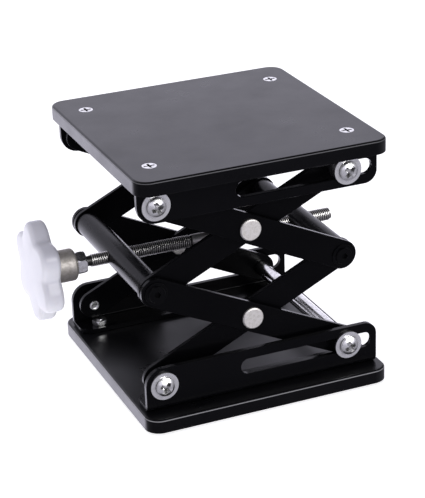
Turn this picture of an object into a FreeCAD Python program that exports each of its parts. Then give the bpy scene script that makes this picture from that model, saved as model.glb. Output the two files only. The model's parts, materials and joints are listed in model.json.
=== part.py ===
import FreeCAD, Part
import Sketcher
import math
import os
from FreeCAD import Rotation, Vector

# A lab jack: two square pan plates joined by a double scissor on each side, opened and closed
# by one lead screw with a left-hand and a right-hand thread.
# Millimetres. X runs along the lead screw with the knob at -X, Y across the jack, Z up.
# The origin is under the middle of the whole jack, knob included, on the plane that the rubber
# feet rest on. The sizes below count x from the middle of the plates.

SIZES = {
    # plates
    "plate_side": 100.0,
    "plate_corner": 6.0,
    "plate_edge": 1.0,
    "rim_height": 5.5,
    "sheet": 1.5,
    "foot_drop": 1.0,
    "foot_radius": 5.0,
    "foot_taper": 0.5,
    "foot_place": 42.6,
    # scissor geometry, seen from the front
    "arm_length": 84.4,
    "arm_angle": 25.32,
    "arm_width": 11.4,
    "arm_thick": 2.0,
    "arm_edge": 0.25,
    "pivot_x": -41.2,
    "pivot_rise": 10.5,
    # layers, counted outwards from the middle of the jack
    "bar_end": 34.7,
    "inner_layer": 34.8,
    "outer_layer": 37.3,
    "bracket_inside": 41.0,
    "bracket_outside": 43.0,
    "play": 0.05,
    # brackets
    "bracket_foot": 13.0,
    "bracket_above": 7.0,
    "bracket_right": 47.7,
    "bracket_nose": 5.0,
    "bracket_bend": 2.6,
    "bracket_inner_bend": 0.6,
    "bracket_toe": 5.0,
    "slot_left": -9.7,
    "slot_right": 45.5,
    "slot_width": 6.2,
    # screws that hold the brackets to the plates
    "plate_screw_x": 39.5,
    "plate_screw_y": 34.25,
    "plate_screw_radius": 1.5,
    "plate_screw_head": 2.8,
    "plate_nut_across": 5.5,
    "plate_nut_thick": 2.1,
    "plate_recess_depth": 0.8,
    # pivot screws, washers and spacers
    "screw_radius": 2.0,
    "head_radius": 3.6,
    "head_height": 2.5,
    "head_dome": 5.2,
    "recess_width": 0.9,
    "recess_across": 4.2,
    "recess_depth": 1.3,
    "washer_radius": 5.5,
    "washer_thick": 1.0,
    "spacer_radius": 4.25,
    "nut_face_share": 0.525,
    "past_nut": 0.3,
    "past_arm": 1.2,
    "thread_play": 0.02,
    # slide rods, crossbars and rivets
    "rod_radius": 3.0,
    "rod_bore_depth": 10.0,
    "rod_screw_depth": 9.0,
    "bush_radius": 5.0,
    "bar_radius": 5.0,
    "bar_edge": 0.5,
    "bar_bore_depth": 12.0,
    "bar_screw_depth": 10.0,
    "flange_radius": 4.4,
    "flange_thick": 0.5,
    "low_head_radius": 3.5,
    "low_head_height": 0.95,
    "low_head_bevel": 0.4,
    "socket_across": 2.5,
    "socket_depth": 1.1,
    "rivet_radius": 2.5,
    "rivet_head": 4.2,
    "rivet_head_height": 1.2,
    "rivet_head_bevel": 0.4,
    "rivet_tail": 3.1,
    "rivet_tail_end": 2.7,
    "rivet_tail_height": 0.8,
    # lead screw and knob
    "thread_radius": 2.5,
    "shank_radius": 2.1,
    "neck_radius": 1.95,
    "screw_start": -72.5,
    "neck_start": -55.0,
    "left_thread_start": -53.2,
    "shank_start": -11.5,
    "right_thread_start": 5.0,
    "screw_tip": 49.0,
    "tip_chamfer": 0.8,
    "jam_nut_start": -59.15,
    "jam_nut_thick": 4.0,
    "jam_nut_across": 8.0,
    "insert_start": -74.0,
    "insert_end": -59.2,
    "insert_radius": 6.25,
    "insert_round": 1.4,
    "knob_start": -77.2,
    "knob_thick": 8.0,
    "knob_radius": 19.7,
    "knob_lobes": 6.0,
    "knob_angle": 24.5,
    "lobe_gap_radius": 7.5,
    "lobe_gap_place": 23.7,
    "lobe_round": 3.0,
    "knob_outer_round": 2.6,
    "knob_inner_round": 2.2,
}

PLATES_X = "(-(dims.knob_start + dims.plate_side / 2) / 2)"
BASE_TOP = "(dims.foot_drop + dims.rim_height)"
BRACKET_SHEET = "(dims.bracket_outside - dims.bracket_inside)"
RISE = "(dims.arm_length * sin(dims.arm_angle * 1deg))"
REACH = "(dims.arm_length * cos(dims.arm_angle * 1deg))"
LEFT_X = "dims.pivot_x"
RIGHT_X = f"(dims.pivot_x + {REACH})"
MIDDLE_X = f"(dims.pivot_x + {REACH} / 2)"
LOW_Z = f"({BASE_TOP} + dims.pivot_rise)"
MID_Z = f"({LOW_Z} + {RISE})"
HIGH_Z = f"({LOW_Z} + 2 * {RISE})"
PLATFORM_TOP = f"({HIGH_Z} + dims.pivot_rise + dims.sheet)"
LOOSE = "dims.screw_radius + dims.play"
TAPPED = "dims.screw_radius + dims.thread_play"
ON_LEAD_SCREW = "dims.thread_radius + dims.thread_play"

TURNS = {
    "+X": Rotation(Vector(0, 0, 1), Vector(1, 0, 0)),
    "+Y": Rotation(Vector(0, 0, 1), Vector(0, 1, 0)),
    "+Z": Rotation(),
}

document = FreeCAD.newDocument("lab_jack")
sheet = document.addObject("Spreadsheet::Sheet", "dims")
nodes = []


def fill_sheet():
    for row, (alias, size) in enumerate(SIZES.items(), start=1):
        sheet.set(f"A{row}", alias)
        sheet.set(f"B{row}", str(size))
        sheet.setAlias(f"B{row}", alias)
    document.recompute()


def value(formula):
    """The present value of a formula over the sheet's cells."""
    result = sheet.evalExpression(formula)
    return float(getattr(result, "Value", result))


def bind(thing, formulas):
    for name, formula in formulas.items():
        thing.setExpression(name, formula)


def move(thing, place):
    """Puts a thing at its place, whose x counts from the middle of the plates."""
    x, y, z = place
    bind(thing, {"Placement.Base.x": f"{x} + {PLATES_X}", "Placement.Base.y": y, "Placement.Base.z": z})


def node(thing, name):
    """Marks an object as one named piece of the jack."""
    thing.Label = name
    nodes.append(thing)
    return thing


# ---- simple solids ----


def cylinder(name, radius, length, place, direction):
    solid = document.addObject("Part::Cylinder", name)
    solid.Placement.Rotation = TURNS[direction]
    bind(solid, {"Radius": radius, "Height": length})
    move(solid, place)
    return solid


def cone(name, start_radius, end_radius, length, place, direction):
    solid = document.addObject("Part::Cone", name)
    solid.Placement.Rotation = TURNS[direction]
    bind(solid, {"Radius1": start_radius, "Radius2": end_radius, "Height": length})
    move(solid, place)
    return solid


def cut(name, base, tool):
    result = document.addObject("Part::Cut", name)
    result.Base = base
    result.Tool = tool
    return result


def common(name, first, second):
    result = document.addObject("Part::Common", name)
    result.Base = first
    result.Tool = second
    return result


def fuse(name, solids):
    result = document.addObject("Part::MultiFuse", name)
    result.Shapes = solids
    return result


def mirrored(name, source, normal, height="0"):
    """A copy of the source, mirrored through a plane in the middle of the plates, at that height."""
    copy = document.addObject("Part::Mirroring", name)
    copy.Source = source
    copy.Normal = normal
    bind(copy, {"Base.x": PLATES_X, "Base.z": height})
    return copy


def group(name, solids):
    compound = document.addObject("Part::Compound", name)
    compound.Links = solids
    return node(compound, name)


def front_and_rear(name, rear):
    return group(name, [rear, mirrored(name + "_front_one", rear, Vector(0, 1, 0))])


def four_corners(name, one):
    right = [one, mirrored(name + "_front_right", one, Vector(0, 1, 0))]
    left = [mirrored(f"{name}_left_{i}", each, Vector(1, 0, 0)) for i, each in enumerate(right)]
    return group(name, right + left)


def tube(name, radius, bore, length, place, direction):
    outside = cylinder(name + "_outside", radius, length, place, direction)
    inside = cylinder(name + "_bore", bore, length, place, direction)
    return cut(name, outside, inside)


def hexagon(name, across, length, place, direction):
    prism = document.addObject("Part::Prism", name)
    prism.Placement.Rotation = TURNS[direction]
    prism.Polygon = 6
    bind(prism, {"Circumradius": f"{across} / sqrt(3)", "Height": length})
    move(prism, place)
    return prism


def hex_nut(name, across, thick, bore, place, direction):
    """A hexagon nut, its corners taken off by a ball that leaves a round face at each end."""
    prism = hexagon(name + "_hexagon", across, thick, place, direction)
    ball = document.addObject("Part::Sphere", name + "_ball")
    ball.setExpression("Radius", f"sqrt(pow({across} * dims.nut_face_share; 2) + pow({thick} / 2; 2))")
    middle = list(place)
    along = "XYZ".index(direction[1])
    middle[along] = f"{place[along]} + {thick} / 2"
    move(ball, middle)
    hole = cylinder(name + "_hole", bore, thick, place, direction)
    return cut(name, common(name + "_blank", prism, ball), hole)


# ---- sketched solids ----


def new_sketch(body, name, role):
    """A sketch on one of the body's own origin planes."""
    sketch = body.newObject("Sketcher::SketchObject", name)
    plane = next(each for each in body.Origin.OriginFeatures if each.Role == role)
    sketch.AttachmentSupport = [(plane, "")]
    sketch.MapMode = "FlatFace"
    return sketch


def constrain(sketch, formula, kind, *where):
    """Adds a dimension to the sketch and ties it to a formula."""
    index = sketch.addConstraint(Sketcher.Constraint(kind, *where, value(formula)))
    sketch.setExpression(f"Constraints[{index}]", formula)


def pin_point(sketch, geometry, end, x, y):
    """Fixes a point of the sketch at x, y, each a formula."""
    for formula, kind, axis in ((x, "DistanceX", -2), (y, "DistanceY", -1)):
        if formula == "0":
            sketch.addConstraint(Sketcher.Constraint("PointOnObject", geometry, end, axis))
        else:
            constrain(sketch, formula, kind, -1, 1, geometry, end)


def outline(sketch, corners):
    """A closed outline of straight lines through the corners."""
    points = [Vector(value(x), value(y), 0) for x, y in corners]
    first = sketch.GeometryCount
    for start, end in zip(points, points[1:] + points[:1]):
        sketch.addGeometry(Part.LineSegment(start, end), False)
    for i, (x, y) in enumerate(corners):
        after = first + (i + 1) % len(corners)
        sketch.addConstraint(Sketcher.Constraint("Coincident", first + i, 2, after, 1))
        pin_point(sketch, first + i, 1, x, y)


def circle(sketch, x, y, radius):
    centre = Vector(value(x), value(y), 0)
    index = sketch.addGeometry(Part.Circle(centre, Vector(0, 0, 1), value(radius)), False)
    constrain(sketch, radius, "Radius", index)
    pin_point(sketch, index, 3, x, y)


def long_slot(sketch, left, right, y, radius):
    """Two half circles of one radius, centred at left and right, joined by straight lines."""
    quarter = math.pi / 2
    r = value(radius)
    low, high = (Vector(value(left), value(y), 0), Vector(value(right), value(y), 0))
    up = Vector(0, r, 0)
    z = Vector(0, 0, 1)
    first = sketch.GeometryCount
    sketch.addGeometry(Part.ArcOfCircle(Part.Circle(low, z, r), quarter, 3 * quarter), False)
    sketch.addGeometry(Part.LineSegment(low - up, high - up), False)
    sketch.addGeometry(Part.ArcOfCircle(Part.Circle(high, z, r), -quarter, quarter), False)
    sketch.addGeometry(Part.LineSegment(high + up, low + up), False)
    for i in range(4):
        after = first + (i + 1) % 4
        sketch.addConstraint(Sketcher.Constraint("Tangent", first + i, 2, after, 1))
    sketch.addConstraint(Sketcher.Constraint("Equal", first, first + 2))
    constrain(sketch, radius, "Radius", first)
    pin_point(sketch, first, 3, left, y)
    constrain(sketch, right, "DistanceX", -1, 1, first + 2, 3)
    sketch.addConstraint(Sketcher.Constraint("Horizontal", first + 1))


def pad(body, name, sketch, length):
    feature = body.newObject("PartDesign::Pad", name)
    feature.Profile = sketch
    feature.setExpression("Length", length)
    sketch.Visibility = False
    document.recompute()
    return feature


def pocket(body, name, sketch, depth=None):
    """Cuts the sketch into the body, right through it if no depth is given."""
    before = body.Shape.Volume
    feature = body.newObject("PartDesign::Pocket", name)
    feature.Profile = sketch
    if depth is None:
        feature.Type = "ThroughAll"
        feature.SideType = "Symmetric"
    else:
        feature.setExpression("Length", depth)
    document.recompute()
    if body.Shape.Volume >= before:
        raise RuntimeError(f"{name} cut nothing")
    return feature


def soften(body, name, kind, size, picked):
    """Rounds (Fillet) or bevels (Chamfer) the picked edges of the body's last feature."""
    base = body.Tip
    feature = body.newObject(f"PartDesign::{kind}", name)
    feature.Base = (base, picked)
    feature.setExpression("Radius" if kind == "Fillet" else "Size", size)
    document.recompute()
    return feature


def hollow_out(body, name, open_faces):
    """Leaves a sheet inside the body's surface, open at the given faces."""
    base = body.Tip
    shell = body.newObject("PartDesign::Thickness", name)
    shell.Base = (base, open_faces)
    shell.setExpression("Value", "dims.sheet")
    shell.Reversed = True
    document.recompute()


def edges_where(body, test):
    return [f"Edge{i}" for i, edge in enumerate(body.Tip.Shape.Edges, 1) if test(edge)]


def faces_at(body, axis, place):
    """The flat faces of the body that lie across an axis at one place."""
    return [
        f"Face{i}"
        for i, face in enumerate(body.Tip.Shape.Faces, 1)
        if face.Surface.TypeId == "Part::GeomPlane"
        and abs(abs(getattr(face.Surface.Axis, axis)) - 1) < 1e-6
        and abs(getattr(face.CenterOfMass, axis) - place) < 1e-3
    ]


def straight_along(edge, axis):
    is_line = edge.Curve.TypeId == "Part::GeomLine"
    return is_line and abs(getattr(edge.Curve.Direction, axis)) > 0.999


def near(edge, **places):
    """True if the edge's middle is at those coordinates."""
    return all(abs(getattr(edge.CenterOfMass, a) - p) < 1e-3 for a, p in places.items())


# ---- plates ----


def pan_plate(name, height, heads_on_top):
    """A square sheet with its rim turned down, held by four countersunk screws."""
    body = document.addObject("PartDesign::Body", name)
    half = "dims.plate_side / 2"
    square = new_sketch(body, name + "_square", "XY_Plane")
    outline(square, [(f"-{half}", f"-{half}"), (half, f"-{half}"), (half, half), (f"-{half}", half)])
    pad(body, name + "_block", square, "dims.rim_height")
    corners = edges_where(body, lambda edge: straight_along(edge, "z"))
    soften(body, name + "_corners", "Fillet", "dims.plate_corner", corners)
    hollow_out(body, name + "_shell", faces_at(body, "z", 0.0))
    top = faces_at(body, "z", value("dims.rim_height"))
    soften(body, name + "_edge", "Fillet", "dims.plate_edge", top)
    holes = new_sketch(body, name + "_holes", "XY_Plane")
    for x in ("-dims.plate_screw_x", "dims.plate_screw_x"):
        for y in ("-dims.plate_screw_y", "dims.plate_screw_y"):
            circle(holes, x, y, "dims.plate_screw_radius + dims.play")
    pocket(body, name + "_screw_holes", holes)
    head_face = value("dims.rim_height" if heads_on_top else "dims.rim_height - dims.sheet")
    hole = value("dims.plate_screw_radius + dims.play")
    mouths = edges_where(
        body,
        lambda edge: edge.Curve.TypeId == "Part::GeomCircle"
        and abs(edge.Curve.Radius - hole) < 1e-3
        and near(edge, z=head_face),
    )
    size = "dims.plate_screw_head - dims.plate_screw_radius"
    soften(body, name + "_countersinks", "Chamfer", size, mouths)
    move(body, ("0", "0", height))
    return node(body, name)


def rubber_feet():
    """Pads glued inside the corners of the base, standing a little below its rim."""
    place = ("dims.foot_place", "dims.foot_place", "0")
    length = f"{BASE_TOP} - dims.sheet"
    one = cone("foot", "dims.foot_radius - dims.foot_taper", "dims.foot_radius", length, place, "+Z")
    four_corners("rubber_feet", one)


def plate_screw():
    """A countersunk screw: its cone in the sheet, its shank up through the bracket and nut."""
    x, y = "dims.plate_screw_x", "dims.plate_screw_y"
    low = f"{BASE_TOP} - dims.sheet"
    cone_height = "(dims.plate_screw_head - dims.plate_screw_radius)"
    length = f"dims.sheet + {BRACKET_SHEET} + dims.plate_nut_thick + dims.past_nut"
    head = cone("plate_screw_cone", "dims.plate_screw_head - dims.play", "dims.plate_screw_radius",
                cone_height, (x, y, low), "+Z")
    shank = cylinder("plate_screw_shank", "dims.plate_screw_radius", length, (x, y, low), "+Z")
    solid = fuse("plate_screw_solid", [head, shank])
    recess = cross_recess("plate_screw_recess", (x, y, low), "Z", 1, "dims.plate_recess_depth")
    return cut("plate_screw", solid, recess)


def cross_recess(name, place, along, way, depth):
    """Two crossed slots that start at place and go in along one axis, way +1 or -1."""
    bars = []
    across = [axis for axis in "XYZ" if axis != along]
    for wide in across:
        bar = document.addObject("Part::Box", f"{name}_{wide}")
        sizes = {along: depth, across[0]: "dims.recess_width", across[1]: "dims.recess_width"}
        sizes[wide] = "dims.recess_across"
        corner = []
        for axis, middle in zip("XYZ", place):
            if axis == along:
                corner.append(middle if way > 0 else f"{middle} - {depth}")
            else:
                corner.append(f"{middle} - {sizes[axis]} / 2")
        bind(bar, {"Length": sizes["X"], "Width": sizes["Y"], "Height": sizes["Z"]})
        move(bar, corner)
        bars.append(bar)
    return fuse(name, bars)


def plates():
    pan_plate("base_plate", "dims.foot_drop", heads_on_top=False)
    pan_plate("platform_plate", f"{PLATFORM_TOP} - dims.rim_height", heads_on_top=True)
    rubber_feet()
    screws = four_corners("base_plate_screws", plate_screw())
    mirror = mirrored("platform_plate_screws", screws, Vector(0, 0, 1), MID_Z)
    node(mirror, "platform_plate_screws")
    seat = f"{BASE_TOP} + {BRACKET_SHEET}"
    place = ("dims.plate_screw_x", "dims.plate_screw_y", seat)
    nut = hex_nut("plate_nut", "dims.plate_nut_across", "dims.plate_nut_thick",
                  "dims.plate_screw_radius + dims.thread_play", place, "+Z")
    nuts = four_corners("base_plate_nuts", nut)
    mirror = mirrored("platform_plate_nuts", nuts, Vector(0, 0, 1), MID_Z)
    node(mirror, "platform_plate_nuts")


# ---- brackets ----


def bracket():
    """The rear lower bracket: an upright web with a pivot hole and a slot, and a foot
    turned inwards along its bottom. The body's XZ plane is the web's outer face."""
    body = document.addObject("PartDesign::Body", "lower_bracket_rear")
    left = "(dims.pivot_x - dims.bracket_above)"
    right = "dims.bracket_right"
    top = "(dims.pivot_rise + dims.bracket_above)"
    web = new_sketch(body, "web_outline", "XZ_Plane")
    outline(web, [(left, "0"), (right, "0"), (right, top), (left, top)])
    circle(web, "dims.pivot_x", "dims.pivot_rise", LOOSE)
    half = "dims.slot_width / 2"
    long_slot(web, f"dims.slot_left + {half}", f"dims.slot_right - {half}", "dims.pivot_rise", half)
    pad(body, "web", web, BRACKET_SHEET)
    foot = new_sketch(body, "foot_outline", "XY_Plane")
    inner = "-dims.bracket_foot"
    outline(foot, [(left, inner), (right, inner), (right, "0"), (left, "0")])
    for x in ("-dims.plate_screw_x", "dims.plate_screw_x"):
        from_face = "dims.plate_screw_y - dims.bracket_outside"
        circle(foot, x, from_face, "dims.plate_screw_radius + dims.play")
    pad(body, "foot", foot, BRACKET_SHEET)
    x_left, x_right, z_top = value(left), value(right), value(top)
    pivot_corner = edges_where(body, lambda e: straight_along(e, "y") and near(e, x=x_left, z=z_top))
    soften(body, "pivot_corner", "Fillet", "dims.bracket_above", pivot_corner)
    nose = edges_where(body, lambda e: straight_along(e, "y") and near(e, x=x_right, z=z_top))
    soften(body, "nose", "Fillet", "dims.bracket_nose", nose)
    y_toe = value(inner)
    toes = edges_where(body, lambda e: straight_along(e, "z") and near(e, y=y_toe))
    soften(body, "toes", "Fillet", "dims.bracket_toe", toes)
    bend = edges_where(body, lambda e: straight_along(e, "x") and near(e, y=0.0, z=0.0))
    soften(body, "bend", "Fillet", "dims.bracket_bend", bend)
    thick = value(BRACKET_SHEET)
    inner_bend = edges_where(body, lambda e: straight_along(e, "x") and near(e, y=-thick, z=thick))
    soften(body, "inner_bend", "Fillet", "dims.bracket_inner_bend", inner_bend)
    outer_rim = faces_at(body, "y", 0.0)
    soften(body, "web_edge", "Chamfer", "dims.arm_edge", outer_rim)
    move(body, ("0", "dims.bracket_outside", BASE_TOP))
    return node(body, "lower_bracket_rear")


def brackets():
    rear = bracket()
    front = node(mirrored("lower_bracket_front", rear, Vector(0, 1, 0)), "lower_bracket_front")
    for source, name in ((rear, "upper_bracket_rear"), (front, "upper_bracket_front")):
        node(mirrored(name, source, Vector(0, 0, 1), MID_Z), name)


# ---- arms ----


def arm(name, start_hole, end_hole, layer, place_z, angle):
    """A flat arm with round ends, a rivet hole at its middle and a pivot hole at each end.
    It is drawn level from its left end, then turned about that end."""
    body = document.addObject("PartDesign::Body", name + "_rear")
    sketch = new_sketch(body, name + "_outline", "XZ_Plane")
    long_slot(sketch, "0", "dims.arm_length", "0", "dims.arm_width / 2")
    circle(sketch, "0", "0", start_hole)
    circle(sketch, "dims.arm_length / 2", "0", "dims.rivet_radius + dims.play")
    circle(sketch, "dims.arm_length", "0", end_hole)
    pad(body, name + "_blank", sketch, "dims.arm_thick")
    sides = faces_at(body, "y", 0.0) + faces_at(body, "y", -value("dims.arm_thick"))
    soften(body, name + "_edge", "Chamfer", "dims.arm_edge", sides)
    body.Placement.Rotation = Rotation(Vector(0, -1, 0), value(angle))
    body.setExpression("Placement.Rotation.Angle", f"{angle} * 1deg")
    move(body, (LEFT_X, f"{layer} + dims.arm_thick", place_z))
    node(body, name + "_rear")
    node(mirrored(name + "_front", body, Vector(0, 1, 0)), name + "_front")


def arms():
    rod_hole = "dims.rod_radius + dims.play"
    rising, falling = "dims.arm_angle", "-dims.arm_angle"
    inner, outer = "dims.inner_layer", "dims.outer_layer"
    arm("lower_inner_arm", TAPPED, LOOSE, inner, LOW_Z, rising)
    arm("lower_outer_arm", LOOSE, rod_hole, outer, MID_Z, falling)
    arm("upper_inner_arm", LOOSE, rod_hole, inner, MID_Z, rising)
    arm("upper_outer_arm", TAPPED, LOOSE, outer, HIGH_Z, falling)


# ---- pins, screws and rivets ----


def pan_screw(name, x, z, under_head, tip):
    """A domed screw with a cross recess. Its head starts at under_head and its shank ends at tip."""
    head = cylinder(name + "_disc", "dims.head_radius", "dims.head_height", (x, under_head, z), "+Y")
    ball = document.addObject("Part::Sphere", name + "_dome")
    ball.setExpression("Radius", "dims.head_dome")
    move(ball, (x, f"{under_head} + dims.head_height - dims.head_dome", z))
    domed = common(name + "_head", head, ball)
    shank = cylinder(name + "_shank", "dims.screw_radius", f"{under_head} - ({tip})", (x, tip, z), "+Y")
    solid = fuse(name + "_solid", [domed, shank])
    crown = f"{under_head} + dims.head_height"
    recess = cross_recess(name + "_recess", (x, crown, z), "Y", -1, "dims.recess_depth")
    return cut(name, solid, recess)


def fixed_pivot(name, z, layer):
    """The screw, washer and spacer that hinge a left arm end to its bracket. The screw is
    tight in the arm's tapped hole and turns in the bracket's plain one."""
    arm_outside = f"{layer} + dims.arm_thick"
    gap = "2 * dims.play"
    washer_at = (LEFT_X, "dims.bracket_outside", z)
    under_head = "dims.bracket_outside + dims.washer_thick"
    screw = pan_screw(name + "_screw", LEFT_X, z, under_head, f"{layer} - dims.past_arm")
    front_and_rear(name + "_screws", screw)
    washer = tube(name + "_washer", "dims.washer_radius", LOOSE, "dims.washer_thick", washer_at, "+Y")
    front_and_rear(name + "_washers", washer)
    spacer_at = (LEFT_X, f"{arm_outside} + {gap}", z)
    spacer_length = f"dims.bracket_inside - ({arm_outside} + {gap})"
    spacer = tube(name + "_spacer", "dims.spacer_radius", LOOSE, spacer_length, spacer_at, "+Y")
    front_and_rear(name + "_spacers", spacer)


def slide_rod(name, z, layer):
    """The polished rod that runs in two bracket slots, closed at each end by a washer and screw."""
    half = "(dims.bracket_outside + 2 * dims.play)"
    rod = cylinder(name + "_blank", "dims.rod_radius", f"2 * {half}", (RIGHT_X, f"-{half}", z), "+Y")
    bore_at = (RIGHT_X, f"{half} - dims.rod_bore_depth", z)
    bore = cylinder(name + "_rear_bore", TAPPED, "dims.rod_bore_depth", bore_at, "+Y")
    bores = fuse(name + "_bores", [bore, mirrored(name + "_front_bore", bore, Vector(0, 1, 0))])
    node(cut(name, rod, bores), name)
    washer = tube(name + "_washer", "dims.washer_radius", LOOSE, "dims.washer_thick",
                  (RIGHT_X, half, z), "+Y")
    front_and_rear(name + "_washers", washer)
    under_head = f"{half} + dims.washer_thick"
    screw = pan_screw(name + "_screw", RIGHT_X, z, under_head, f"{half} - dims.rod_screw_depth")
    front_and_rear(name + "_screws", screw)
    start = f"{layer} + dims.arm_thick + 2 * dims.play"
    length = f"dims.bracket_inside - 2 * dims.play - ({start})"
    bush = tube(name + "_bush", "dims.bush_radius", "dims.rod_radius + dims.thread_play", length,
                (RIGHT_X, start, z), "+Y")
    front_and_rear(name + "_bushes", bush)


def crossbar(name, x):
    """A round bar between the two sides' middle joints, drilled across for the lead screw,
    with a low-headed screw through both arms into each end."""
    half = "(dims.bar_end - dims.bar_edge)"
    middle = cylinder(name + "_middle", "dims.bar_radius", f"2 * {half}", (x, f"-{half}", MID_Z), "+Y")
    end = cone(name + "_rear_end", "dims.bar_radius", "dims.bar_radius - dims.bar_edge",
               "dims.bar_edge", (x, half, MID_Z), "+Y")
    ends = [end, mirrored(name + "_front_end", end, Vector(0, 1, 0))]
    bore_at = (x, "dims.bar_end - dims.bar_bore_depth", MID_Z)
    bore = cylinder(name + "_rear_bore", TAPPED, "dims.bar_bore_depth", bore_at, "+Y")
    across = cylinder(name + "_screw_hole", "dims.thread_radius + dims.play", "4 * dims.bar_radius",
                      (f"{x} - 2 * dims.bar_radius", "0", MID_Z), "+X")
    holes = fuse(name + "_holes", [bore, mirrored(name + "_front_bore", bore, Vector(0, 1, 0)), across])
    node(cut(name, fuse(name + "_blank", [middle] + ends), holes), name)
    face = "dims.outer_layer + dims.arm_thick + dims.play"
    flange = cylinder(name + "_flange", "dims.flange_radius", "dims.flange_thick", (x, face, MID_Z), "+Y")
    head = cone(name + "_head", "dims.low_head_radius", "dims.low_head_radius - dims.low_head_bevel",
                "dims.low_head_height", (x, f"{face} + dims.flange_thick", MID_Z), "+Y")
    tip = "dims.bar_end - dims.bar_screw_depth"
    shank = cylinder(name + "_shank", "dims.screw_radius", f"{face} - ({tip})", (x, tip, MID_Z), "+Y")
    solid = fuse(name + "_screw_solid", [flange, head, shank])
    crown = f"{face} + dims.flange_thick + dims.low_head_height"
    socket_at = (x, f"{crown} - dims.socket_depth", MID_Z)
    socket = hexagon(name + "_socket", "dims.socket_across", "dims.socket_depth", socket_at, "+Y")
    front_and_rear(name + "_screws", cut(name + "_screw", solid, socket))


def rivets(name, z):
    """Rivets through the middles of an inner and an outer arm."""
    inside = "dims.inner_layer - dims.play"
    outside = "dims.outer_layer + dims.arm_thick + dims.play"
    head = "dims.rivet_head_height"
    shank = cylinder(name + "_shank", "dims.rivet_radius", f"{outside} - ({inside})",
                     (MIDDLE_X, inside, z), "+Y")
    rim_height = f"({head} - dims.rivet_head_bevel)"
    rim = cylinder(name + "_rim", "dims.rivet_head", rim_height, (MIDDLE_X, outside, z), "+Y")
    crown = cone(name + "_crown", "dims.rivet_head", "dims.rivet_head - dims.rivet_head_bevel",
                 "dims.rivet_head_bevel", (MIDDLE_X, f"{outside} + {rim_height}", z), "+Y")
    tail_height = "dims.rivet_tail_height"
    tail = cone(name + "_tail", "dims.rivet_tail_end", "dims.rivet_tail", tail_height,
                (MIDDLE_X, f"{inside} - {tail_height}", z), "+Y")
    front_and_rear(name, fuse(name + "_solid", [shank, rim, crown, tail]))


def fasteners():
    fixed_pivot("lower_pivot", LOW_Z, "dims.inner_layer")
    fixed_pivot("upper_pivot", HIGH_Z, "dims.outer_layer")
    slide_rod("lower_slide_rod", LOW_Z, "dims.outer_layer")
    slide_rod("upper_slide_rod", HIGH_Z, "dims.inner_layer")
    crossbar("left_crossbar", LEFT_X)
    crossbar("right_crossbar", RIGHT_X)
    rivets("lower_rivets", f"({LOW_Z} + {RISE} / 2)")
    rivets("upper_rivets", f"({MID_Z} + {RISE} / 2)")


# ---- lead screw and knob ----


def turned(name, profile):
    """A round part about the lead screw's axis, from (x, radius) corners."""
    body = document.addObject("PartDesign::Body", name)
    sketch = new_sketch(body, name + "_profile", "XZ_Plane")
    outline(sketch, profile)
    feature = body.newObject("PartDesign::Revolution", name + "_turned")
    feature.Profile = sketch
    feature.ReferenceAxis = (sketch, ["H_Axis"])
    feature.Angle = 360
    move(body, ("0", "0", MID_Z))
    document.recompute()
    return body


def lead_screw():
    """A left-hand thread, a plain shank and a right-hand thread in one rod."""
    steps = [
        ("screw_start", "neck_start", "thread_radius"),
        ("neck_start", "left_thread_start", "neck_radius"),
        ("left_thread_start", "shank_start", "thread_radius"),
        ("shank_start", "right_thread_start", "shank_radius"),
    ]
    profile = [("dims.screw_start", "0")]
    for start, end, radius in steps:
        profile += [(f"dims.{start}", f"dims.{radius}"), (f"dims.{end}", f"dims.{radius}")]
    profile += [
        ("dims.right_thread_start", "dims.thread_radius"),
        ("dims.screw_tip - dims.tip_chamfer", "dims.thread_radius"),
        ("dims.screw_tip", "dims.thread_radius - dims.tip_chamfer"),
        ("dims.screw_tip", "0"),
    ]
    node(turned("lead_screw", profile), "lead_screw")


def knob_insert():
    """The metal hub moulded into the knob, bored for the end of the lead screw."""
    profile = [
        ("dims.insert_start", "0"),
        ("dims.insert_start", "dims.insert_radius"),
        ("dims.insert_end", "dims.insert_radius"),
        ("dims.insert_end", ON_LEAD_SCREW),
        ("dims.screw_start", ON_LEAD_SCREW),
        ("dims.screw_start", "0"),
    ]
    body = turned("knob_insert", profile)
    end, radius = value("dims.insert_end"), value("dims.insert_radius")
    rim = edges_where(
        body,
        lambda e: e.Curve.TypeId == "Part::GeomCircle"
        and abs(e.Curve.Radius - radius) < 1e-3
        and near(e, x=end),
    )
    soften(body, "insert_round", "Fillet", "dims.insert_round", rim)
    node(body, "knob_insert")


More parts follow.
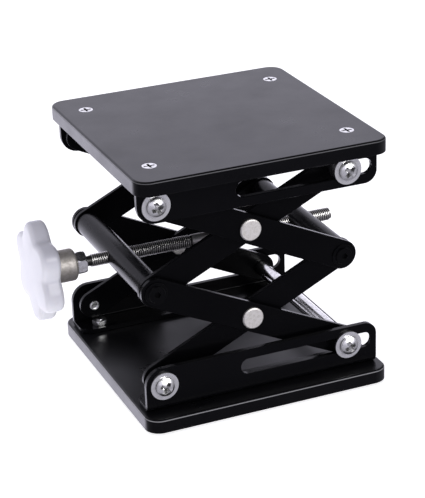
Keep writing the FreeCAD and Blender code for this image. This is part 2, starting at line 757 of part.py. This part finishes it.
def knob():
    """A hand knob: a thick disc with rounded lobes left between six round hollows."""
    body = document.addObject("PartDesign::Body", "knob")
    disc = new_sketch(body, "knob_disc", "YZ_Plane")
    circle(disc, "0", "0", "dims.knob_radius")
    pad(body, "knob_blank", disc, "dims.knob_thick")
    gap = new_sketch(body, "lobe_gap", "YZ_Plane")
    circle(gap, "0", "dims.lobe_gap_place", "dims.lobe_gap_radius")
    hollow = pocket(body, "lobe_gap_cut", gap)
    ring = body.newObject("PartDesign::PolarPattern", "lobe_gaps")
    ring.Originals = [hollow]
    x_axis = next(each for each in body.Origin.OriginFeatures if each.Role == "X_Axis")
    ring.Axis = (x_axis, [""])
    ring.Angle = 360
    ring.Occurrences = int(SIZES["knob_lobes"])
    body.Tip = ring
    document.recompute()
    corners = edges_where(body, lambda edge: straight_along(edge, "x"))
    soften(body, "lobe_corners", "Fillet", "dims.lobe_round", corners)
    seat = new_sketch(body, "insert_seat", "YZ_Plane")
    seat.setExpression("AttachmentOffset.Base.z", "dims.knob_thick")
    circle(seat, "0", "0", "dims.insert_radius + dims.thread_play")
    depth = "dims.knob_start + dims.knob_thick - dims.insert_start"
    outer = faces_at(body, "x", 0.0)
    soften(body, "outer_round", "Fillet", "dims.knob_outer_round", outer)
    inner = faces_at(body, "x", value("dims.knob_thick"))
    soften(body, "inner_round", "Fillet", "dims.knob_inner_round", inner)
    pocket(body, "insert_bore", seat, depth)
    body.Placement.Rotation = Rotation(Vector(1, 0, 0), value("dims.knob_angle"))
    body.setExpression("Placement.Rotation.Angle", "dims.knob_angle * 1deg")
    move(body, ("dims.knob_start", "0", MID_Z))
    node(body, "knob")


def screw_and_knob():
    lead_screw()
    knob_insert()
    knob()
    place = ("dims.jam_nut_start", "0", MID_Z)
    nut = hex_nut("jam_nut", "dims.jam_nut_across", "dims.jam_nut_thick", ON_LEAD_SCREW, place, "+X")
    node(nut, "jam_nut")


# ---- whole jack ----


def check():
    """Stops if any feature failed or any piece isn't a sound solid."""
    for thing in document.Objects:
        if "Invalid" in thing.State or "Error" in thing.State:
            raise RuntimeError(f"{thing.Name} failed: {thing.State}")
    for piece in nodes:
        if piece.Shape.isNull() or not piece.Shape.isValid() or not piece.Shape.Solids:
            raise RuntimeError(f"{piece.Label} is not a sound solid")


def write():
    os.makedirs("parts", exist_ok=True)
    for piece in nodes:
        piece.Shape.exportStep(f"parts/{piece.Label}.step")


fill_sheet()
plates()
brackets()
arms()
fasteners()
screw_and_knob()
document.recompute()
check()
write()
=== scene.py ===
import json
import math

import bmesh
import bpy
from mathutils import Matrix, Vector

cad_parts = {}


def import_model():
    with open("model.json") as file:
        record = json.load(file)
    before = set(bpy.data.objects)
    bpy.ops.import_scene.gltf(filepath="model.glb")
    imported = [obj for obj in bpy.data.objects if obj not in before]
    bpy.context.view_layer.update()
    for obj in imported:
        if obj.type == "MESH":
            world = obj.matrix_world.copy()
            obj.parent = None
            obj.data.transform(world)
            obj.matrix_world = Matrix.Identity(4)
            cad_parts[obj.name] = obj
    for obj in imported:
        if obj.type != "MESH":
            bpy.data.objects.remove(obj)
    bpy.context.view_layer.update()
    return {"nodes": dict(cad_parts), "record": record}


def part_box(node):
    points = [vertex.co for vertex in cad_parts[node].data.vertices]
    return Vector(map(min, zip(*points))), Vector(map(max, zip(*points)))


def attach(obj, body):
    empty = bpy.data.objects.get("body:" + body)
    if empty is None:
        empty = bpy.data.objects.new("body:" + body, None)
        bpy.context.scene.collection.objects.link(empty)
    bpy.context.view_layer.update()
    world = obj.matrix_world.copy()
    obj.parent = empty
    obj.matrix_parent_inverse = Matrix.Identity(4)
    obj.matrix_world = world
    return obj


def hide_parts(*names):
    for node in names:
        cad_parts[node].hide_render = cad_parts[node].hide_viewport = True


# A lab jack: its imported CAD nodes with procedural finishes, and finer meshes in place of the lead
# screw, the knob and the cross-headed screws. Metres. X runs along the lead screw, knob at -X.

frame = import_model()

MM = 0.001
NODES = frame["nodes"]
BODY_OF = {
    node: body
    for body, nodes in frame["record"]["behaviour"]["bodies"].items()
    for node in nodes
}
SLOT_OF = {part["node"]: part["material_slot"] for part in frame["record"]["subparts"]}

screw_low, screw_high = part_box("lead_screw")
SCREW_Z = (screw_low.z + screw_high.z) / 2
SCREW_CREST = (screw_high.z - screw_low.z) / 2


# ---- node materials ----


class Finish:
    """A procedural material: a Principled surface and short calls that add nodes to it."""

    def __init__(self, name):
        self.material = bpy.data.materials.new(name)
        self.material.use_nodes = True
        self.tree = self.material.node_tree
        self.tree.nodes.clear()
        self.surface = self.tree.nodes.new("ShaderNodeBsdfPrincipled")
        output = self.tree.nodes.new("ShaderNodeOutputMaterial")
        self.tree.links.new(self.surface.outputs[0], output.inputs["Surface"])
        self.place = self.add("ShaderNodeTexCoord").outputs["Object"]

    def feed(self, socket, value):
        if isinstance(value, bpy.types.NodeSocket):
            self.tree.links.new(value, socket)
        else:
            socket.default_value = value

    def add(self, kind, settings=None, **inputs):
        """A node of that kind. Inputs are given by position as i0, i1 and so on, or by name."""
        node = self.tree.nodes.new(kind)
        for key, value in (settings or {}).items():
            setattr(node, key, value)
        for key, value in inputs.items():
            numbered = key[0] == "i" and key[1:].isdigit()
            socket = node.inputs[int(key[1:])] if numbered else node.inputs[key]
            self.feed(socket, value)
        return node

    def set(self, **inputs):
        """Feeds inputs of the surface, their names written with underscores."""
        for key, value in inputs.items():
            self.feed(self.surface.inputs[key.replace("_", " ")], value)

    def noise(self, size, detail=2.0, roughness=0.5, stretch=None):
        """Noise from 0 to 1 with features of about that size, in metres."""
        where = self.place
        if stretch:
            where = self.add("ShaderNodeMapping", i0=where, Scale=stretch).outputs[0]
        node = self.add("ShaderNodeTexNoise", Vector=where, Scale=1 / size, Detail=detail,
                        Roughness=roughness)
        return node.outputs["Fac"]

    def times(self, a, b):
        return self.add("ShaderNodeMath", {"operation": "MULTIPLY"}, i0=a, i1=b).outputs[0]

    def remap(self, value, low, high, to_low, to_high):
        node = self.add("ShaderNodeMapRange", i0=value, i1=low, i2=high, i3=to_low, i4=to_high)
        return node.outputs[0]

    def blend(self, share, a, b):
        """Colour a where the share is 0, b where it is 1."""
        node = self.add("ShaderNodeMix", {"data_type": "RGBA"})
        for index, value in ((0, share), (6, a), (7, b)):
            self.feed(node.inputs[index], value)
        return node.outputs[2]

    def bump(self, height, distance, strength):
        node = self.add("ShaderNodeBump", Height=height, Distance=distance, Strength=strength)
        return node.outputs[0]

    def edges(self, radius):
        """1 along the edges of the shape, 0 on its faces."""
        rounded = self.add("ShaderNodeBevel", {"samples": 4}, Radius=radius).outputs[0]
        flat = self.add("ShaderNodeNewGeometry").outputs["Normal"]
        dot = self.add("ShaderNodeVectorMath", {"operation": "DOT_PRODUCT"}, i0=rounded, i1=flat)
        return self.remap(dot.outputs["Value"], 0.985, 0.80, 0.0, 1.0)

    def slope_band(self, low, high):
        """1 where the surface leans between facing sideways and facing up, by the normal's height."""
        normal = self.add("ShaderNodeNewGeometry").outputs["Normal"]
        lean = self.add("ShaderNodeSeparateXYZ", i0=normal).outputs["Z"]
        rising = self.remap(lean, low, low + 0.1, 0.0, 1.0)
        return self.times(rising, self.remap(lean, high - 0.1, high, 1.0, 0.0))

    def grazing(self):
        """0 where the surface faces the viewer, rising to 1 where it is seen edge on."""
        return self.add("ShaderNodeLayerWeight", Blend=0.5).outputs["Facing"]

    def openness(self, distance):
        """1 in the open, falling towards 0 in corners and recesses of about that size."""
        node = self.add("ShaderNodeAmbientOcclusion", {"samples": 6}, Distance=distance)
        return node.outputs["AO"]

    def off_screw_axis(self):
        """The distance from the lead screw's axis."""
        across = self.add("ShaderNodeMapping", i0=self.place, Location=(0, 0, -SCREW_Z), Scale=(0, 1, 1))
        length = self.add("ShaderNodeVectorMath", {"operation": "LENGTH"}, i0=across.outputs[0])
        return length.outputs["Value"]


def grey(value, blue=0.0):
    return (value, value, value + blue, 1.0)


HEAD_ON_SHINE = 0.042


def powder_coat(name, tone, worn, shine, gloss, grain, painted_edge_highlight=0.0):
    """Black powder coat: fine orange peel, faint cloudiness, small pale specks, edges rubbed lighter.
    Shine is how strongly it reflects when seen edge on; seen head on, every coat has HEAD_ON_SHINE.
    The last argument sets how strongly a painted highlight lightens a plate's rounded upper edge, where
    its surface leans between sideways and up."""
    f = Finish(name)
    cloud = f.noise(18 * MM, 3.0, 0.6)
    fine = f.noise(0.35 * MM, 2.0, 0.7)
    peel = f.noise(grain, 2.0, 0.55)
    speck = f.remap(fine, 0.62, 0.74, 0.0, 0.5)
    base = f.blend(cloud, grey(tone * 0.8, tone * 0.2), grey(tone * 1.3, tone * 0.3))
    base = f.blend(speck, base, grey(worn))
    wear = f.times(f.edges(0.3 * MM), f.remap(f.noise(1.6 * MM), 0.35, 0.65, 0.1, 0.5))
    base = f.blend(wear, base, grey(worn * 1.6))
    # Painted highlight: a pale band along the rounded upper edge, where the surface leans between sideways
    # and up.
    if painted_edge_highlight:
        base = f.blend(f.times(f.slope_band(0.22, 0.62), painted_edge_highlight), base, grey(0.6))
    f.set(Base_Color=base, Roughness=f.remap(cloud, 0.3, 0.7, gloss - 0.04, gloss + 0.05))
    f.set(Specular_IOR_Level=f.remap(f.grazing(), 0.2, 0.6, HEAD_ON_SHINE, shine))
    f.set(Normal=f.bump(peel, 0.02 * MM, 0.5))
    return f.material


def plated_steel(name, tone, gloss, brush=None, warm=0.0, painted_shade_reach=1.3 * MM, stained=0.6, root_darkening_radii=None):
    """Plated steel: faint lines or grain, small stains and specks, painted shade in corners and recesses,
    brighter edges.
    The last argument gives the radii from the lead screw's axis between which the colour fades from near
    black nearer the axis to its plain colour further out."""
    f = Finish(name)
    stain = f.noise(1.4 * MM, 4.0, 0.6)
    grain = f.noise(0.12 * MM, 2.0, 0.6, brush)
    speck = f.remap(f.noise(0.28 * MM, 3.0, 0.7, brush), 0.55, 0.70, 0.0, stained * 0.8)
    light = (tone, tone - warm * 0.5, tone - warm, 1.0)
    dark = (tone * 0.55, (tone - warm * 0.5) * 0.54, (tone - warm) * 0.50, 1.0)
    base = f.blend(f.remap(stain, 0.42, 0.70, 0.0, stained), light, dark)
    base = f.blend(speck, base, grey(tone * 0.35))
    base = f.blend(f.times(f.edges(0.15 * MM), 0.6), base, grey(min(1.0, tone * 1.25)))
    # Painted shade: near black in corners and recesses, as far out as the given reach.
    base = f.blend(f.remap(f.openness(painted_shade_reach), 0.25, 0.85, 0.92, 0.0), base, grey(0.012))
    # Darker towards the thread's roots: near black close to the lead screw's axis, plain towards the
    # crests.
    if root_darkening_radii:
        base = f.blend(f.remap(f.off_screw_axis(), *root_darkening_radii, 0.95, 0.0), base, grey(0.01))
    f.set(Base_Color=base, Metallic=1.0, Normal=f.bump(grain, 0.01 * MM, 0.8))
    f.set(Roughness=f.remap(stain, 0.3, 0.8, gloss, gloss + 0.16))
    return f.material


def white_plastic(name):
    """Moulded white plastic: soft surface, faint flow clouds, a slightly cool tint."""
    f = Finish(name)
    cloud = f.noise(9 * MM, 3.0, 0.5)
    fine = f.noise(0.5 * MM, 3.0, 0.6)
    base = f.blend(cloud, (0.78, 0.78, 0.825, 1.0), (0.84, 0.84, 0.875, 1.0))
    grime = f.times(f.remap(f.noise(2.5 * MM, 4.0, 0.7), 0.55, 0.8, 0.0, 1.0), 0.12)
    base = f.blend(grime, base, (0.62, 0.61, 0.60, 1.0))
    base = f.blend(f.times(f.edges(0.5 * MM), 0.3), base, (0.92, 0.92, 0.94, 1.0))
    f.set(Base_Color=base, Roughness=f.remap(fine, 0.3, 0.7, 0.30, 0.42))
    f.set(Subsurface_Weight=0.15, Subsurface_Radius=(1.0, 0.9, 0.8), Subsurface_Scale=1.2 * MM)
    f.set(Specular_IOR_Level=0.25, Normal=f.bump(fine, 0.01 * MM, 0.35))
    return f.material


def rubber(name):
    """Matt black rubber with a dusty, slightly pitted skin."""
    f = Finish(name)
    dust = f.noise(1.8 * MM, 4.0, 0.65)
    pits = f.noise(0.25 * MM, 2.0, 0.6)
    base = f.blend(dust, grey(0.018), grey(0.05))
    base = f.blend(f.times(f.edges(0.3 * MM), 0.5), base, grey(0.09))
    f.set(Base_Color=base, Roughness=f.remap(pits, 0.3, 0.7, 0.72, 0.9))
    f.set(Normal=f.bump(pits, 0.03 * MM, 0.6))
    return f.material


PLATE_COAT = {"tone": 0.0045, "worn": 0.03, "shine": 0.42, "gloss": 0.30, "grain": 0.5 * MM}
MATERIALS = {
    # The plates' rounded upper edges carry a painted highlight.
    "plate_paint": powder_coat("plate_powder_coat", painted_edge_highlight=0.55, **PLATE_COAT),
    "bracket_paint": powder_coat("bracket_powder_coat", tone=0.0035, worn=0.012, shine=0.19,
                                 gloss=0.22, grain=0.7 * MM),
    "arm_paint": powder_coat("arm_powder_coat", tone=0.0025, worn=0.010, shine=0.15,
                             gloss=0.24, grain=0.7 * MM),
    "bar_black": powder_coat("bar_black_oxide", tone=0.004, worn=0.02, shine=0.15,
                             gloss=0.26, grain=0.4 * MM),
    "black_screw": powder_coat("black_screw_oxide", tone=0.003, worn=0.015, shine=0.18,
                               gloss=0.28, grain=0.4 * MM),
    "polished_steel": plated_steel("polished_rod", tone=0.80, gloss=0.12, brush=(1, 12, 1)),
    "thread_steel": plated_steel("threaded_steel", tone=0.60, gloss=0.36, warm=0.03, painted_shade_reach=0.8 * MM,
                                 stained=0.25, root_darkening_radii=(2.14 * MM, 2.36 * MM)),
    "zinc_steel": plated_steel("bright_zinc", tone=0.95, gloss=0.24, painted_shade_reach=1.9 * MM, stained=0.45),
    "nickel": plated_steel("nickel_insert", tone=0.40, gloss=0.55, brush=(10, 1, 1), warm=0.045,
                           stained=0.5),
    "rivet_metal": plated_steel("rivet_steel", tone=0.80, gloss=0.5, warm=0.05),
    "knob_plastic": white_plastic("white_knob_plastic"),
    "foot_rubber": rubber("foot_rubber"),
}
OWN_FINISH = {
    # The platform's rounded upper edge carries a fainter painted highlight.
    "platform_plate": powder_coat("platform_powder_coat", painted_edge_highlight=0.2, **PLATE_COAT),
    "jam_nut": plated_steel("jam_nut_steel", tone=0.85, gloss=0.16, stained=0.5),
}


def dress_cad():
    """Gives every CAD node its own finish, or else the one of its material slot."""
    for name, node in NODES.items():
        for slot in node.material_slots:
            slot.material = OWN_FINISH.get(name, MATERIALS[SLOT_OF[name]])


# ---- mesh helpers ----


def mesh_of(name, bm):
    """Turns the mesh under construction into a finished one."""
    bmesh.ops.recalc_face_normals(bm, faces=bm.faces)
    mesh = bpy.data.meshes.new(name)
    bm.to_mesh(mesh)
    bm.free()
    return mesh


def loose_object(name, bm):
    """An object that is only used while shapes are built."""
    thing = bpy.data.objects.new(name, mesh_of(name, bm))
    bpy.context.scene.collection.objects.link(thing)
    return thing


def new_piece(name, bm, node, smooth_angle):
    """An object that stands for a CAD node and rides on its body, with edges past the angle kept hard."""
    mesh = mesh_of(name, bm)
    mesh.shade_smooth()
    mesh.set_sharp_from_angle(angle=math.radians(smooth_angle))
    mesh.materials.append(MATERIALS[SLOT_OF[node]])
    piece = bpy.data.objects.new(name, mesh)
    bpy.context.scene.collection.objects.link(piece)
    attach(piece, BODY_OF[node])
    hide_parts(node)


def bridge(bm, first, second):
    """Faces between two rings of points. A ring of one point is a pole."""
    count = max(len(first), len(second))
    for i in range(count):
        j = (i + 1) % count
        near = first[i % len(first)], first[j % len(first)]
        far = second[j % len(second)], second[i % len(second)]
        bm.faces.new(list(dict.fromkeys(near + far)))


def turned(bm, outline, axis_z, segments):
    """A closed solid about the axis along X at that height. The outline gives (x, radius) points for an
    angle, with the first and the last at radius 0."""
    angles = [2 * math.pi * i / segments for i in range(segments)]
    rings = []
    for level in zip(*(outline(angle) for angle in angles)):
        if level[0][1] == 0:
            rings.append([bm.verts.new((level[0][0], 0, axis_z))])
            continue
        ring = []
        for (x, radius), angle in zip(level, angles):
            ring.append(bm.verts.new((x, radius * math.cos(angle), axis_z + radius * math.sin(angle))))
        rings.append(ring)
    for first, second in zip(rings, rings[1:]):
        bridge(bm, first, second)


def move(bm, start, matrix):
    """Moves every point made since there were that many."""
    bm.verts.ensure_lookup_table()
    bmesh.ops.transform(bm, matrix=matrix, verts=bm.verts[start:])


def turn(axis, degrees):
    return Matrix.Rotation(math.radians(degrees), 4, axis)


X_TO_Y = turn("Z", 90)


# ---- lead screw ----


def thread(bm, start, end, root, pitch, hand, steps=36):
    """A helical ridge on the lead screw, hand +1 right or -1 left. It fades out at each end."""
    count = round((end - start) / pitch * steps)
    half_root, half_crest = 0.46 * pitch, 0.14 * pitch
    sunk = root * 0.97
    rows = []
    for i in range(count + 1):
        angle = hand * 2 * math.pi * i / steps
        x = start + (end - start) * i / count
        grown = min(1.0, 2 * i / steps, 2 * (count - i) / steps)
        top = sunk + (SCREW_CREST - sunk) * (0.06 + 0.94 * grown)
        row = []
        for dx, radius in ((-half_root, sunk), (-half_crest, top), (half_crest, top), (half_root, sunk)):
            y, z = -radius * math.sin(angle), SCREW_Z + radius * math.cos(angle)
            row.append(bm.verts.new((x + dx, y, z)))
        rows.append(row)
    for first, second in zip(rows, rows[1:]):
        bridge(bm, first, second)
    bm.faces.new(rows[0])
    bm.faces.new(rows[-1])


def lead_screw():
    """The spindle: plain core with a left-hand and a right-hand M5 thread cut on it."""
    pitch = 0.8 * MM
    root = SCREW_CREST - 0.58 * pitch
    neck, shank = 1.95 * MM, 2.38 * MM
    neck_length, left_length, shank_length = 2.2 * MM, 24.7 * MM, 16.5 * MM
    ramp = 0.5 * MM
    neck_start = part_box("jam_nut")[1].x - 0.1 * MM
    left_start = neck_start + neck_length
    left_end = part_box("left_crossbar")[1].x + left_length
    right_start = left_end + shank_length
    profile = [
        (screw_low.x, 0), (screw_low.x, root),
        (neck_start, root), (neck_start + ramp, neck),
        (left_start - ramp, neck), (left_start, root),
        (left_end, root), (left_end + ramp, shank),
        (right_start - ramp, shank), (right_start, root),
        (screw_high.x - ramp, root), (screw_high.x, root - ramp), (screw_high.x, 0),
    ]
    bm = bmesh.new()
    turned(bm, lambda angle: profile, SCREW_Z, 48)
    thread(bm, screw_low.x + pitch, neck_start, root, pitch, -1)
    thread(bm, left_start, left_end, root, pitch, -1)
    thread(bm, right_start, screw_high.x - pitch / 2, root, pitch, 1)
    new_piece("lead_screw_threaded", bm, "lead_screw", 35.0)


# ---- cross-headed screws ----

PAN_RADIUS, PAN_HEIGHT, PAN_DOME = 3.6 * MM, 2.5 * MM, 5.2 * MM


def dome_height(radius):
    """How high the pan head's rounded top stands at that distance from its middle."""
    return PAN_HEIGHT - (PAN_DOME - math.sqrt(PAN_DOME ** 2 - radius ** 2))


def recess_cutter(angle):
    """A tapered bar across the pan head, one of the two that cut its cross recess."""
    mouth = (PAN_HEIGHT + MM, 3.9 * MM, 1.15 * MM)
    bottom = (PAN_HEIGHT - 2.1 * MM, 1.1 * MM, 0.45 * MM)
    bm = bmesh.new()
    rings = []
    for y, long, wide in (mouth, bottom):
        corners = ((-long, -wide), (long, -wide), (long, wide), (-long, wide))
        rings.append([bm.verts.new((x, y, z)) for x, z in corners])
        bm.faces.new(rings[-1])
    bridge(bm, *rings)
    bm.transform(turn("Y", angle))
    return loose_object("recess_cutter", bm)


def pan_head():
    """A domed head that faces +Y from y = 0, with a tapered cross recess, as a mesh to copy."""
    edge, inset, rings = 0.25 * MM, 0.12 * MM, 10
    rim = dome_height(PAN_RADIUS)
    profile = [(0, 0), (0, PAN_RADIUS - edge), (edge, PAN_RADIUS), (rim - edge, PAN_RADIUS)]
    for i in range(rings + 1):
        radius = (PAN_RADIUS - inset) * (1 - i / rings)
        profile.append((dome_height(radius), radius))
    bm = bmesh.new()
    turned(bm, lambda angle: profile, 0.0, 40)
    bm.transform(X_TO_Y)
    head = loose_object("pan_head", bm)
    for angle in (0, 90):
        cutter = recess_cutter(angle)
        cut = head.modifiers.new("recess", "BOOLEAN")
        cut.operation, cut.solver, cut.object = "DIFFERENCE", "EXACT", cutter
        carved = bpy.data.meshes.new_from_object(head.evaluated_get(bpy.context.evaluated_depsgraph_get()))
        head.modifiers.clear()
        head.data = carved
        bpy.data.objects.remove(cutter)
    bpy.data.objects.remove(head)
    return carved


def pan_screws(node, head, angles):
    """A front and a rear screw in place of a CAD node, their recesses turned by the given angles."""
    low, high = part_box(node)
    x, z = (low.x + high.x) / 2, (low.z + high.z) / 2
    cad = NODES[node]
    tip = min(abs((cad.matrix_world @ v.co).y) for v in cad.data.vertices)
    under = high.y - PAN_HEIGHT
    shank, bevel, cup, overlap = 2.0 * MM, 0.35 * MM, 0.7 * MM, 0.3 * MM
    profile = [
        (tip + cup, 0), (tip, shank - 2 * bevel), (tip, shank - bevel), (tip + bevel, shank),
        (under + overlap, shank), (under + overlap, 0),
    ]
    bm = bmesh.new()
    for facing, angle in zip((0, 180), angles):
        head_start = len(bm.verts)
        bm.from_mesh(head)
        move(bm, head_start, Matrix.Translation((0, under, 0)) @ turn("Y", angle))
        rod_start = len(bm.verts)
        turned(bm, lambda around: profile, 0.0, 32)
        move(bm, rod_start, X_TO_Y)
        move(bm, head_start, Matrix.Translation((x, 0, z)) @ turn("Z", facing))
    new_piece(node + "_phillips", bm, node, 28.0)


def all_pan_screws():
    head = pan_head()
    for node, angles in (
        ("lower_pivot_screws", (10, 62)), ("upper_pivot_screws", (75, 20)),
        ("lower_slide_rod_screws", (40, 25)), ("upper_slide_rod_screws", (15, 48)),
    ):
        pan_screws(node, head, angles)
    bpy.data.meshes.remove(head)


# ---- knob ----


def knob():
    """The six-lobed hand knob: a smooth wavy outline, rounded rims and a seat for the metal insert."""
    low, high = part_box("knob")
    insert_low, insert_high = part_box("knob_insert")
    lobes, first_lobe = 6, math.radians(24.5)
    outer, valley, lobe_fullness = 19.7 * MM, 15.4 * MM, 0.75
    dome, round_out, round_in = 0.5 * MM, 2.6 * MM, 2.2 * MM
    seat = (insert_high.z - insert_low.z) / 2 + 0.02 * MM
    boss, step, chamfer = seat + 1.5 * MM, 0.2 * MM, 0.3 * MM
    arc = [math.pi / 2 * i / 8 for i in range(9)]

    def outline(angle):
        """(x, radius) points from the middle of the outer face, round the rim, to the insert's seat."""
        wave = 0.5 + 0.5 * math.cos(lobes * (angle - first_lobe))
        rim = valley + (outer - valley) * wave ** lobe_fullness
        flat = rim - round_out
        points = [(low.x, 0.0)]
        for share in (0.25, 0.5, 0.75, 1.0):
            points.append((low.x + dome * share ** 3, flat * share))
        for bend in arc[1:]:
            depth = dome + (round_out - dome) * (1 - math.cos(bend))
            points.append((low.x + depth, flat + round_out * math.sin(bend)))
        points.append(((low.x + high.x + round_out - round_in) / 2, rim))
        for bend in arc:
            inward = round_in * (1 - math.cos(bend))
            points.append((high.x - round_in * (1 - math.sin(bend)), rim - inward))
        points += [
            (high.x - step, (rim - round_in + boss) / 2), (high.x, boss),
            (high.x, seat + chamfer), (high.x - chamfer, seat),
            (insert_low.x, seat), (insert_low.x, 0.0),
        ]
        return points

    bm = bmesh.new()
    turned(bm, outline, SCREW_Z, 32 * lobes)
    new_piece("knob_moulding", bm, "knob", 50.0)


# ---- stage ----

JACK_MIDDLE = Vector((0, 0, 50 * MM))
BACK_LOW, BACK_HIGH, FRONT_LOW, FRONT_HIGH, SIDES, OVERHEAD = 2.1, 1.1, 0.40, 0.8, 0.26, 0.20


def lamp(name, place, size, power, gloss_only=False):
    """A rectangular lamp that points at the jack. A gloss-only one shows in reflections alone."""
    light = bpy.data.lights.new(name, "AREA")
    light.shape = "RECTANGLE"
    light.size, light.size_y = size
    light.energy = power
    thing = bpy.data.objects.new(name, light)
    thing.location = place
    thing.rotation_euler = (JACK_MIDDLE - Vector(place)).to_track_quat("-Z", "Y").to_euler()
    thing.visible_diffuse = not gloss_only
    bpy.context.scene.collection.objects.link(thing)


def world():
    """Surroundings that are bright behind the jack, dim before it, at its sides and overhead, and faintly
    blue. The camera sees them white."""
    studio = bpy.data.worlds.new("studio")
    studio.use_nodes = True
    bpy.context.scene.world = studio
    tree = studio.node_tree
    tree.nodes.clear()
    add, link = tree.nodes.new, tree.links.new

    def ramp(value, low, high, to_low, to_high):
        node = add("ShaderNodeMapRange")
        node.interpolation_type = "SMOOTHSTEP"
        link(value, node.inputs[0])
        for index, setting in enumerate((low, high, to_low, to_high), start=1):
            if isinstance(setting, bpy.types.NodeSocket):
                link(setting, node.inputs[index])
            else:
                node.inputs[index].default_value = setting
        return node.outputs[0]

    # The parts of the viewed direction: Y is 1 behind the jack and -1 before it, Z is 1 overhead.
    parts = add("ShaderNodeSeparateXYZ")
    link(add("ShaderNodeTexCoord").outputs["Generated"], parts.inputs[0])
    across, height = parts.outputs["Y"], parts.outputs["Z"]
    sideways = add("ShaderNodeMath")
    sideways.operation = "ABSOLUTE"
    link(parts.outputs["X"], sideways.inputs[0])
    behind = ramp(height, -0.3, 0.3, BACK_LOW, BACK_HIGH)
    behind = ramp(sideways.outputs[0], 0.50, 0.75, behind, SIDES)
    before = ramp(height, 0.05, 0.3, FRONT_LOW, FRONT_HIGH)
    strength = ramp(across, -0.45, -0.15, before, SIDES)
    strength = ramp(across, 0.3, 0.7, strength, behind)
    strength = ramp(height, 0.6, 0.8, strength, OVERHEAD)
    camera_ray = add("ShaderNodeLightPath").outputs["Is Camera Ray"]
    colour = add("ShaderNodeMix")
    colour.data_type = "RGBA"
    link(camera_ray, colour.inputs[0])
    colour.inputs[6].default_value = (0.97, 0.95, 1.10, 1.0)
    colour.inputs[7].default_value = (1.0, 1.0, 1.0, 1.0)
    level = add("ShaderNodeMix")
    level.data_type = "FLOAT"
    link(camera_ray, level.inputs[0])
    link(strength, level.inputs[2])
    level.inputs[3].default_value = 1.0
    background = add("ShaderNodeBackground")
    link(colour.outputs[2], background.inputs["Color"])
    link(level.outputs[0], background.inputs["Strength"])
    output = add("ShaderNodeOutputWorld")
    link(background.outputs[0], output.inputs["Surface"])


def floor():
    """A plain pale floor, a disc wide enough to fill the view."""
    bm = bmesh.new()
    bmesh.ops.create_circle(bm, cap_ends=True, segments=96, radius=1.6)
    mesh = mesh_of("floor", bm)
    pale = Finish("pale_floor")
    pale.set(Base_Color=(0.93, 0.93, 0.93, 1.0), Roughness=0.9, Specular_IOR_Level=0.0)
    pale.set(Emission_Color=(1.0, 1.0, 1.0, 1.0), Emission_Strength=0.8)
    mesh.materials.append(pale.material)
    thing = bpy.data.objects.new("floor", mesh)
    thing.visible_glossy = False
    bpy.context.scene.collection.objects.link(thing)


def camera():
    """A long lens from the front left, a little above."""
    azimuth, elevation, roll = map(math.radians, (-22.19, 23.68, -2.05))
    distance = 706.0 * MM
    plate_low, plate_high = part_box("base_plate")
    target = Vector(((plate_low.x + plate_high.x) / 2 - 2.24 * MM, 0, 47.74 * MM))
    back = Vector((math.sin(azimuth) * math.cos(elevation), -math.cos(azimuth) * math.cos(elevation),
                   math.sin(elevation)))
    right = Vector((0, 0, 1)).cross(back).normalized()
    up = back.cross(right)
    rolled_right = math.cos(roll) * right + math.sin(roll) * up
    rolled_up = math.cos(roll) * up - math.sin(roll) * right
    matrix = Matrix((rolled_right, rolled_up, back)).transposed().to_4x4()
    matrix.translation = target + back * distance
    lens = bpy.data.cameras.new("camera")
    lens.lens = 129.9
    lens.sensor_width = 36.0
    lens.clip_start = 0.01
    lens.clip_end = 20.0
    thing = bpy.data.objects.new("camera", lens)
    thing.matrix_world = matrix
    bpy.context.scene.collection.objects.link(thing)
    bpy.context.scene.camera = thing


dress_cad()
lead_screw()
all_pan_screws()
knob()
world()
floor()
lamp("key", place=(-0.35, 0.3, 0.8), size=(0.4, 0.4), power=1.0)
lamp("front_strip", place=(0.40, -0.90, 0.66), size=(0.8, 0.24), power=16.0, gloss_only=True)
camera()
bpy.context.scene.view_settings.view_transform = "Standard"
